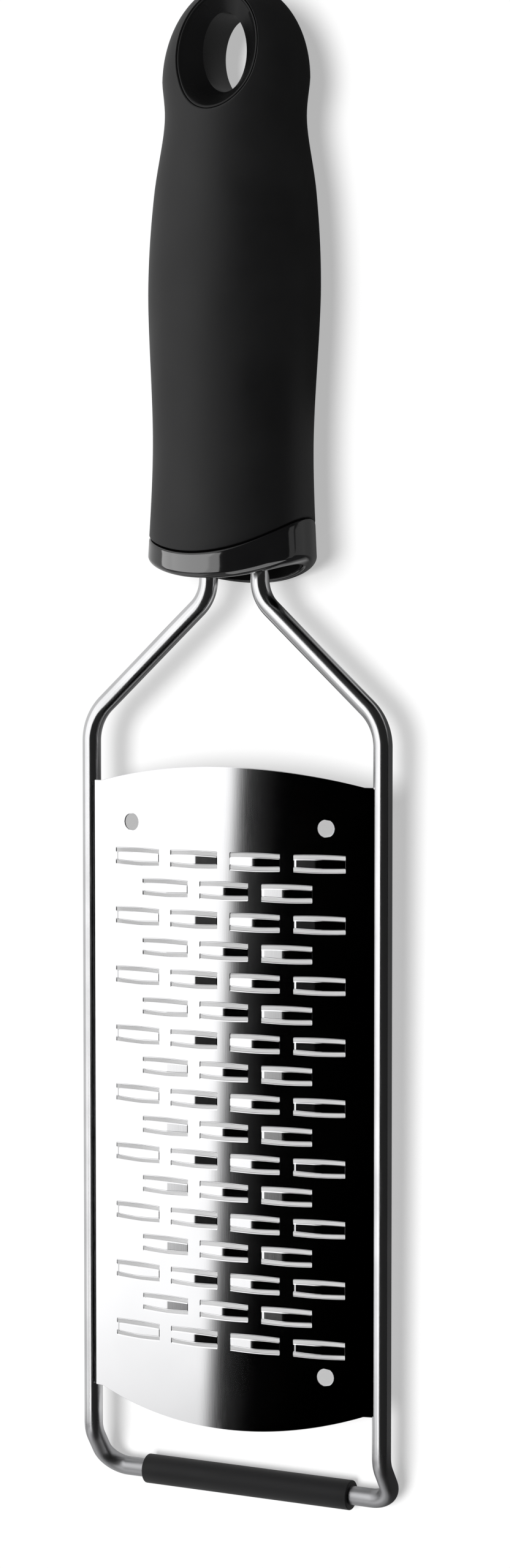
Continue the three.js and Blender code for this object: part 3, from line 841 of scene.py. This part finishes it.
def head_outline():
    """The boundary of the head in plan, from its right side at the cut over the tip to its left side."""
    side = []
    for step in range(1, HEAD_STRAIGHT_POINTS):
        along = HEAD_CUT_Y + (HEAD_Y - HEAD_CUT_Y) * step / HEAD_STRAIGHT_POINTS
        side.append(Vector((half_sizes(along)[0], along)))
    for sine, cosine in quarter(HEAD_ROUND_POINTS):
        side.append(Vector((HEAD_WIDTH / 2 * cosine, HEAD_Y + HEAD_TO_TIP * sine)))
    mirrored = [Vector((-point.x, point.y)) for point in side[-2::-1]]
    return side + mirrored


def make_grip(material):
    """One closed skin: the outside, the hang hole's tunnel, the end at the collar and the hollow inside."""
    points, faces = [], []

    def add(point):
        points.append(Vector(point))
        return len(points) - 1

    def extend(ring):
        """Joins a ring of new points to the last one."""
        numbers = [add(point) for point in ring]
        bridge(faces, chain[-1], numbers)
        chain.append(numbers)

    level = COLLAR_TOP_Y + PART_GAP
    sides = turned(HANDLE_SIDES)
    cut = [add(handle_point(angle, HEAD_CUT_Y)) for angle in sides]
    chain = [cut]
    lengths = [arc_along(COLLAR_ARC, angle, level) + GRIP_EDGE - HEAD_CUT_Y for angle in sides]
    for step in range(1, GRIP_RINGS + 1):
        part = step / GRIP_RINGS
        extend([handle_point(angle, HEAD_CUT_Y + length * part) for angle, length in zip(sides, lengths)])
    for sine, cosine in quarter(EDGE_STEPS)[1:]:
        extend(arc_loop(COLLAR_ARC, level, GRIP_EDGE * (cosine - 1), GRIP_EDGE * (1 - sine)))
    extend(arc_loop(COLLAR_ARC, level, -HANDLE_WALL))
    for along in (WAIST_Y, (WAIST_Y + BELLY_Y) / 2, BELLY_Y, SHOULDER_Y, CORE_END_Y + PART_GAP):
        extend([handle_point(angle, along, -HANDLE_WALL) for angle in sides])
    faces.append(tuple(chain[-1]))

    outline = [add((p.x, p.y, handle_centre(p.y))) for p in head_outline()]
    half_sides = HANDLE_SIDES // 2
    grow = EYELET_WALL + EYELET_GAP
    tunnels = []
    for side in (1, -1):
        along_cut = [cut[(half_sides - side * step) % HANDLE_SIDES] for step in range(half_sides + 1)]
        border = along_cut + outline
        rings = [border]
        angles = []
        for number in border:
            angles.append(math.atan2(
                (points[number].y - HOLE_Y) / (HANG_HOLE_HEIGHT / 2 + grow + HOLE_RIM),
                points[number].x / (HANG_HOLE_WIDTH / 2 + grow + HOLE_RIM),
            ))
        for step in range(1, HEAD_PATCH_RINGS + 1):
            part = step / HEAD_PATCH_RINGS
            part = max(part ** 2, 1 + HEAD_PATCH_SLOPE * (part - 1))
            ring = []
            for number, angle in zip(border, angles):
                outer = points[number].to_2d()
                inside = oval(angle, grow + HOLE_RIM)
                spot = outer.lerp(inside, part)
                ring.append(add((spot.x, spot.y, handle_face(spot.x, spot.y, side))))
            rings.append(ring)
        for sine, cosine in quarter(HOLE_RIM_STEPS)[1:]:
            ring = []
            for angle in angles:
                spot = oval(angle, grow + HOLE_RIM * (1 - sine))
                surface = oval(angle, grow + HOLE_RIM / 2)
                level_here = handle_face(surface.x, surface.y, side)
                ring.append(add((spot.x, spot.y, level_here - side * HOLE_RIM * (1 - cosine))))
            rings.append(ring)
        for first, second in zip(rings, rings[1:]):
            bridge(faces, first, second)
        tunnels.append(rings[-1])
    bridge(faces, tunnels[0], tunnels[1])
    add_piece("grip_skin", points, faces, material, ["grip"], sharp_degrees=60)


def make_collar(material):
    """A glossy band with a rounded lip at the blade's end and a fine edge at the grip."""
    loops = []
    inner_lip = COLLAR_LIP / 2
    inner = -HANDLE_WALL
    for sine, cosine in quarter(COLLAR_MOUTH_STEPS):
        loops.append(arc_loop(END_ARC, MOUTH_Y, inner + inner_lip * (1 - cosine), inner_lip * (1 - sine)))
    for sine, cosine in quarter(COLLAR_LIP_STEPS):
        loops.append(arc_loop(END_ARC, MOUTH_Y, COLLAR_LIP * (sine - 1), COLLAR_LIP * (1 - cosine)))
    low = arc_loop(END_ARC, MOUTH_Y, 0, COLLAR_LIP)
    high = arc_loop(COLLAR_ARC, COLLAR_TOP_Y, 0, -COLLAR_EDGE)
    for ring in range(1, COLLAR_BAND_RINGS):
        loops.append([a.lerp(b, ring / COLLAR_BAND_RINGS) for a, b in zip(low, high)])
    for sine, cosine in quarter(EDGE_STEPS):
        grow, shift = COLLAR_EDGE * (cosine - 1), COLLAR_EDGE * (sine - 1)
        loops.append(arc_loop(COLLAR_ARC, COLLAR_TOP_Y, grow, shift))
    loops.append(arc_loop(COLLAR_ARC, COLLAR_TOP_Y, inner))
    points, faces = loop_skin(loops, closed=True)
    return add_piece("collar_band", points, faces, material, ["end_collar"], sharp_degrees=50)


def make_plug(material):
    """The recessed plug, its end along the same arc, with a thin wall that lines the collar's mouth."""
    outside = -HANDLE_WALL - PLUG_GAP
    inside = outside - PLUG_LINING
    face_y = MOUTH_Y + PLUG_RECESS
    edge = arc_loop(END_ARC, face_y, inside)
    loops = [
        [handle_point(angle, face_y + PLUG_HEIGHT, outside) for angle in turned(HANDLE_SIDES)],
        arc_loop(END_ARC, MOUTH_Y + PLUG_LINING_DROP, outside),
        arc_loop(END_ARC, MOUTH_Y + PLUG_LINING_DROP, inside),
        edge,
    ]
    centre_z = handle_centre(face_y)
    for part, sink in [(PLUG_RIM, PLUG_RIM_SINK)] + [(part, PLUG_SINK) for part in PLUG_RINGS]:
        loops.append([
            Vector((x, arc_height(END_ARC, face_y, x, z) + sink, z))
            for x, z in ((p.x * part, centre_z + (p.z - centre_z) * part) for p in edge)
        ])
    points, faces = loop_skin(loops)
    add_piece("plug_face", points, faces, material, ["end_plug"], sharp_degrees=50)


def make_eyelet(material):
    """The liner of the hang hole: a funnel from each face to a crisp ridge, and a straight bore between."""
    angles = turned(EYELET_SIDES)
    loops = []
    for side in (1, -1):
        ridge = handle_centre(HOLE_Y) + side * HANG_HOLE_STRAIGHT / 2
        faces_at = []
        for angle in angles:
            rim = oval(angle, EYELET_WALL)
            faces_at.append(handle_face(rim.x, rim.y, side) - side * EYELET_RECESS)

        def ring(grow, drop, share=0.0):
            loop = []
            for angle, face in zip(angles, faces_at):
                spot = oval(angle, grow)
                level = face - side * drop
                loop.append(Vector((spot.x, spot.y, level + (ridge - level) * share)))
            return loop

        chain = [ring(EYELET_WALL, EYELET_FLANK)]
        for sine, cosine in quarter(EYELET_EDGE_STEPS):
            chain.append(ring(EYELET_WALL - EYELET_GAP * (1 - cosine), EYELET_GAP * (1 - sine)))
        mouth = EYELET_WALL - EYELET_GAP
        rounding = [
            (mouth - EYELET_RIM * sine, EYELET_RIM * (1 - cosine))
            for sine, cosine in quarter(EYELET_RIM_STEPS)[1:-2]
        ]
        chain += [ring(grow, drop) for grow, drop in rounding]
        grow, drop = rounding[-1]
        for step in range(1, EYELET_FUNNEL_RINGS + 1):
            part = step / EYELET_FUNNEL_RINGS
            chain.append(ring(grow * (1 - part), drop, part))
        loops += chain if side > 0 else chain[::-1]
    points, faces = loop_skin(loops, closed=True)
    add_piece("eyelet_liner", points, faces, material, ["eyelet"], sharp_degrees=24)


# Materials

def new_material(name):
    material = bpy.data.materials.new(name)
    material.use_nodes = True
    return material, material.node_tree, material.node_tree.nodes["Principled BSDF"]


def add_node(tree, kind, inputs=None, **settings):
    made = tree.nodes.new("ShaderNode" + kind)
    for key, value in settings.items():
        setattr(made, key, value)
    for socket, value in (inputs or {}).items():
        if isinstance(value, bpy.types.NodeSocket):
            tree.links.new(value, made.inputs[socket])
        else:
            made.inputs[socket].default_value = value
    return made


def surface_noise(tree, size, detail=3.0, stretch=(1, 1, 1)):
    """Noise with grains about size millimetres across, longer along an axis where stretch is more than 1."""
    place_node = add_node(tree, "TexCoord")
    scale = tuple(1 / (size * MILLIMETRE * part) for part in stretch)
    mapping = add_node(tree, "Mapping", {"Vector": place_node.outputs["Object"], "Scale": scale})
    inputs = {"Vector": mapping.outputs["Vector"], "Scale": 1.0, "Detail": detail}
    return add_node(tree, "TexNoise", inputs).outputs["Fac"]


def axes(tree, space):
    """The X, Y and Z of a place or direction."""
    place_node = add_node(tree, "TexCoord")
    return add_node(tree, "SeparateXYZ", {"Vector": place_node.outputs[space]}).outputs


def spread(tree, value, low, high, start=0.3, end=0.7, interpolation="LINEAR"):
    """A value that goes from low to high as another goes from start to end."""
    inputs = {"Value": value, "From Min": start, "From Max": end, "To Min": low, "To Max": high}
    return add_node(tree, "MapRange", inputs, interpolation_type=interpolation).outputs["Result"]


def calculate(tree, operation, *values):
    return add_node(tree, "Math", dict(enumerate(values)), operation=operation).outputs[0]


def times(socket, factor):
    return calculate(socket.id_data, "MULTIPLY", socket, factor)


def mixed_colour(tree, factor, first, second):
    """A mix of two colours, by the colour sockets of the node, 6 and 7."""
    first, second = (
        colour if isinstance(colour, bpy.types.NodeSocket) else (*colour, 1) for colour in (first, second)
    )
    return add_node(tree, "Mix", {0: factor, 6: first, 7: second}, data_type="RGBA").outputs[2]


def mixed_shader(tree, factor, first, second):
    return add_node(tree, "MixShader", {0: factor, 1: first.outputs[0], 2: second.outputs[0]})


def bump(tree, height, depth, below=None):
    inputs = {"Height": height, "Distance": depth * MILLIMETRE, "Strength": 1.0}
    if below is not None:
        inputs["Normal"] = below
    return add_node(tree, "Bump", inputs).outputs["Normal"]


def steel(name, colours, roughness, line_size, line_depth, smudge=30, satin_foot=0.0):
    """Steel with fine drawn lines and faint clouds, greyer and rougher by satin_foot at the foot."""
    material, tree, shader = new_material(name)
    shader.inputs["Metallic"].default_value = 1
    cloud = surface_noise(tree, smudge)
    lines = surface_noise(tree, line_size, detail=2, stretch=LINE_STRETCH)
    colour = mixed_colour(tree, spread(tree, cloud, 0, 1), *colours)
    rough = calculate(tree, "ADD", spread(tree, cloud, *roughness), spread(tree, lines, *LINE_ROUGHNESS))
    if satin_foot:
        satin = spread(tree, axes(tree, "Object")["Y"], 1, 0, *SATIN_ALONG)
        rough = calculate(tree, "MULTIPLY_ADD", satin, satin_foot, rough)
        colour = mixed_colour(tree, satin, colour, SATIN_COLOUR)
    tree.links.new(colour, shader.inputs["Base Color"])
    tree.links.new(rough, shader.inputs["Roughness"])
    tree.links.new(bump(tree, lines, line_depth), shader.inputs["Normal"])
    return material


def moulded(name, colours, roughness, grain_size, grain_depth, specular, coat=0.0):
    """Moulded rubber or plastic with a fine grain over faint clouds."""
    material, tree, shader = new_material(name)
    shader.inputs["Specular IOR Level"].default_value = specular
    shader.inputs["Coat Weight"].default_value = coat
    shader.inputs["Coat Roughness"].default_value = COAT_ROUGHNESS
    grain = surface_noise(tree, grain_size, detail=2)
    cloud = surface_noise(tree, CLOUD_SIZE, detail=4)
    tree.links.new(mixed_colour(tree, spread(tree, cloud, 0, 1), *colours), shader.inputs["Base Color"])
    tree.links.new(spread(tree, cloud, *roughness), shader.inputs["Roughness"])
    wave = bump(tree, cloud, grain_depth * CLOUD_TO_GRAIN_DEPTH)
    tree.links.new(bump(tree, grain, grain_depth, wave), shader.inputs["Normal"])
    return material


BLADE_STEEL = steel(
    "polished blade steel", ((0.82, 0.82, 0.83), (0.78, 0.78, 0.79)),
    roughness=(0.05, 0.09), line_size=0.12, line_depth=0.0006,
)
WIRE_STEEL = steel(
    "drawn wire steel", ((0.74, 0.74, 0.75), (0.66, 0.66, 0.67)),
    roughness=(0.14, 0.2), line_size=0.2, line_depth=0.002, smudge=9, satin_foot=0.22,
)
WELD_STEEL = steel(
    "weld steel", ((0.5, 0.49, 0.47), (0.33, 0.3, 0.28)),
    roughness=(0.35, 0.55), line_size=0.5, line_depth=0.02, smudge=1.5,
)
GRIP_RUBBER = moulded(
    "matte grip rubber", ((0.006, 0.006, 0.0063), (0.009, 0.009, 0.0093)),
    roughness=(0.5, 0.58), grain_size=0.16, grain_depth=0.012, specular=0.5,
)
FOOT_RUBBER = moulded(
    "foot rubber", ((0.010, 0.010, 0.0105), (0.013, 0.013, 0.0135)),
    roughness=(0.5, 0.62), grain_size=0.2, grain_depth=0.015, specular=0.35,
)
GLOSS_BLACK = moulded(
    "glossy black plastic", ((0.004, 0.004, 0.0042), (0.006, 0.006, 0.0062)),
    roughness=(0.07, 0.12), grain_size=1.2, grain_depth=0.0008, specular=0.5, coat=0.3,
)
EYELET_PLASTIC = moulded(
    "eyelet plastic", ((0.006, 0.006, 0.0062), (0.008, 0.008, 0.0082)),
    roughness=(0.25, 0.3), grain_size=1.2, grain_depth=0.0008, specular=0.25,
)
PLUG_PLASTIC = moulded(
    "plug plastic", ((0.0025, 0.0025, 0.0025), (0.0035, 0.0035, 0.0035)),
    roughness=(0.55, 0.65), grain_size=0.25, grain_depth=0.01, specular=0.1,
)
CORE_PLASTIC = moulded(
    "core plastic", ((0.03, 0.03, 0.031), (0.04, 0.04, 0.041)),
    roughness=(0.5, 0.6), grain_size=0.3, grain_depth=0.01, specular=0.5,
)

wire_rod = make_wire_frame(WIRE_STEEL)
make_blade(BLADE_STEEL)
make_welds(WELD_STEEL)
make_foot_sleeve(FOOT_RUBBER)
make_grip(GRIP_RUBBER)
collar_band = make_collar(GLOSS_BLACK)
make_plug(PLUG_PLASTIC)
make_eyelet(EYELET_PLASTIC)
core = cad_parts["handle_core"]
core.data.materials.clear()
core.data.materials.append(CORE_PLASTIC)


# Floor, light and camera

def make_floor():
    """Pale paper that keeps the shadow, with painted reflections in other tones where a glossy surface
    mirrors it.
    """
    material, tree, shader = new_material("floor paper")
    tree.nodes.remove(shader)
    x, y = axes(tree, "Object")[:2]

    def across(edge, low=0, high=1):
        return spread(tree, x, low, high, *edge)

    def along(edge, low=0, high=1):
        return spread(tree, y, low, high, *edge)

    def paper(shade, level):
        """Paper whose light is partly its own, so that its shadows stay pale."""
        lit_part = add_node(tree, "BsdfDiffuse", {"Color": shade})
        own_part = add_node(tree, "Emission", {"Color": (1, 1, 1, 1), "Strength": level})
        return add_node(tree, "AddShader", {0: lit_part.outputs[0], 1: own_part.outputs[0]})

    # Painted reflection: tones that only glossy rays see, dark to the right and beside the left leg's flare,
    # and lighter by the collar, the foot and the hang hole
    by_handle = along(HANDLE_FROM)
    from_edge = calculate(tree, "MULTIPLY_ADD", by_handle, HANDLE_EDGE_SHIFT, x)
    sides = spread(tree, from_edge, MIRRORED_LEFT, MIRRORED_RIGHT, *MIRRORED_EDGE)
    beside_left_leg = times(across(FLARE_LEFT), across(FLARE_RIGHT, 1, 0))
    by_flare = times(along(FLARE_FROM), along(HANDLE_FROM, FLARE_DARKENING, 0))
    level = times(sides, calculate(tree, "SUBTRACT", 1, times(beside_left_leg, by_flare)))
    above_collar = times(by_handle, along(COLLAR_TO, 1, 0))
    by_hole = times(along(HOLE_FROM), along(HOLE_TO, 1, 0))
    from_middle = calculate(tree, "ABSOLUTE", x)
    for painted_reflection_patch in (
        times(above_collar, across(COLLAR_ACROSS, 0, MIRRORED_BY_COLLAR)),
        times(along(FOOT_TO, MIRRORED_BY_FOOT, 0), across(FOOT_ACROSS, 1, 0)),
        times(by_hole, spread(tree, from_middle, MIRRORED_BY_HOLE, 0, *HOLE_ACROSS)),
    ):
        level = calculate(tree, "MAXIMUM", level, painted_reflection_patch)
    painted_reflection_half = times(level, 0.5)
    shade = mixed_colour(tree, surface_noise(tree, PAPER_CLOUD), *PAPER_SHADES)
    to_rough = add_node(tree, "BsdfDiffuse", {"Color": shade})
    to_camera = paper((PAPER_LIT_SHARE, PAPER_LIT_SHARE, PAPER_LIT_SHARE, 1), 1 - PAPER_LIT_SHARE)
    path = add_node(tree, "LightPath")
    unseen = mixed_shader(tree, path.outputs["Is Glossy Ray"], to_rough, paper(painted_reflection_half, painted_reflection_half))
    surface = mixed_shader(tree, path.outputs["Is Camera Ray"], unseen, to_camera)
    tree.links.new(surface.outputs[0], tree.nodes["Material Output"].inputs["Surface"])
    corners = [(a * FLOOR_HALF, b * FLOOR_HALF, 0) for a, b in ((-1, -1), (1, -1), (1, 1), (-1, 1))]
    mesh = bpy.data.meshes.new("floor")
    mesh.from_pydata(corners, [], [(0, 1, 2, 3)])
    mesh.materials.append(material)
    floor = bpy.data.objects.new("floor", mesh)
    floor.location.z = -FLOOR_DROP
    bpy.context.scene.collection.objects.link(floor)


def make_world():
    """White to the camera, dim to rough surfaces, and to mirrors a left panel and a glow at both ends."""
    world = bpy.data.worlds.new("studio")
    bpy.context.scene.world = world
    world.use_nodes = True
    tree = world.node_tree
    tree.nodes.clear()
    x, y, z = axes(tree, "Generated")

    def ramp(value, edge, low, high):
        return spread(tree, value, low, high, *edge, "SMOOTHSTEP")

    def angle_ramp(value, edge, low, high):
        return ramp(value, [math.radians(angle) for angle in edge], low, high)

    def light(level):
        return add_node(tree, "Background", {"Color": (1, 1, 1, 1), "Strength": level})

    angle = calculate(tree, "ARCTAN2", x, z)
    skewed = calculate(tree, "MULTIPLY_ADD", y, PANEL_SKEW, angle)
    core = angle_ramp(skewed, PANEL_CORE, 1, 0)
    tail = angle_ramp(skewed, PANEL_TAIL_EDGE, PANEL_TAIL, 0)
    edge = calculate(tree, "MULTIPLY_ADD", core, core, tail)
    far_part = angle_ramp(angle, PANEL_FAR_EDGE, PANEL_FAR_SHARE, 1)
    foot_part = ramp(y, PANEL_FOOT_EDGE, PANEL_FOOT_SHARE, 1)
    panel = times(times(edge, PANEL_LEVEL), times(far_part, foot_part))
    steep = calculate(tree, "ABSOLUTE", y)
    leaning = calculate(tree, "DIVIDE", x, steep)
    whiter = ramp(leaning, ENDS_WHITE_TO_GREY, ENDS_WHITE, ENDS_GREY)
    ends = times(whiter, ramp(leaning, ENDS_GREY_TO_BLACK, 1, 0))
    middle_light = times(panel, ramp(steep, ENDS_FROM, 1, 0))
    reflected = calculate(tree, "MULTIPLY_ADD", ends, ramp(steep, ENDS_FROM, 0, 1), middle_light)
    path = add_node(tree, "LightPath")
    unseen = mixed_shader(tree, path.outputs["Is Glossy Ray"], light(AMBIENT_LEVEL), light(reflected))
    seen = mixed_shader(tree, path.outputs["Is Camera Ray"], unseen, light(1.0))
    add_node(tree, "OutputWorld", {"Surface": seen.outputs[0]})


def make_overhead_light():
    """A wide soft lamp straight above, for the shadow."""
    light = bpy.data.lights.new("overhead", "SUN")
    light.angle = math.radians(OVERHEAD_SPREAD)
    light.energy = OVERHEAD_LEVEL
    lamp = bpy.data.objects.new("overhead", light)
    lamp.visible_glossy = False
    bpy.context.scene.collection.objects.link(lamp)


def make_panel(name, receivers, angles, distance, length, level, swing=0):
    """A soft panel for some pieces alone, between two angles towards +X, then swung towards -Y."""
    middle = math.radians(sum(angles) / 2)
    half = math.radians((angles[1] - angles[0]) / 2)
    light = bpy.data.lights.new(name, "AREA")
    light.shape = "RECTANGLE"
    light.size, light.size_y = 2 * distance * math.sin(half), length
    light.energy = level * math.pi * light.size * light.size_y
    lamp = bpy.data.objects.new(name, light)
    away = distance * math.cos(half)
    turn = Matrix.Rotation(math.radians(swing), 4, "X") @ Matrix.Rotation(middle, 4, "Y")
    lamp.matrix_world = turn @ Matrix.Translation((0, 0, away))
    lamp.visible_camera = False
    lit_pieces = bpy.data.collections.new(name)
    for piece in receivers:
        lit_pieces.objects.link(piece)
    lamp.light_linking.receiver_collection = lit_pieces
    bpy.context.scene.collection.objects.link(lamp)


def make_camera():
    data = bpy.data.cameras.new("camera")
    data.sensor_width = SENSOR_WIDTH
    data.lens = VIEW_FOCUS_PIXELS * SENSOR_WIDTH / PHOTO_LONG_SIDE
    camera = bpy.data.objects.new("camera", data)
    bpy.context.scene.collection.objects.link(camera)
    pitch = Matrix.Rotation(math.radians(-VIEW_PITCH), 4, "X")
    turn = Matrix.Rotation(math.radians(VIEW_TURN), 4, "Y") @ pitch
    spot = Vector(VIEW_AIM) + turn.col[2].to_3d() * VIEW_DISTANCE
    camera.matrix_world = TOOL @ Matrix.Translation(spot * MILLIMETRE) @ turn
    bpy.context.scene.camera = camera


make_floor()
make_world()
make_overhead_light()
make_panel("wire panel", [wire_rod], angles=(-28, -5), distance=0.7, length=1.6, level=1.3)
make_panel("wire fill", [wire_rod], angles=(0, 84), distance=0.7, length=1.6, level=0.02)
make_panel("collar panel", [collar_band], angles=(-80, -11), distance=0.8, length=0.35, level=3.05)
make_panel("collar side panel", [collar_band], angles=(78, 90), distance=0.8, length=0.5, level=0.5)
make_panel("lip panel", [collar_band], angles=(-5, 60), distance=0.8, length=1.2, level=2.5, swing=75)
make_camera()
bpy.context.scene.view_settings.view_transform = "Standard"
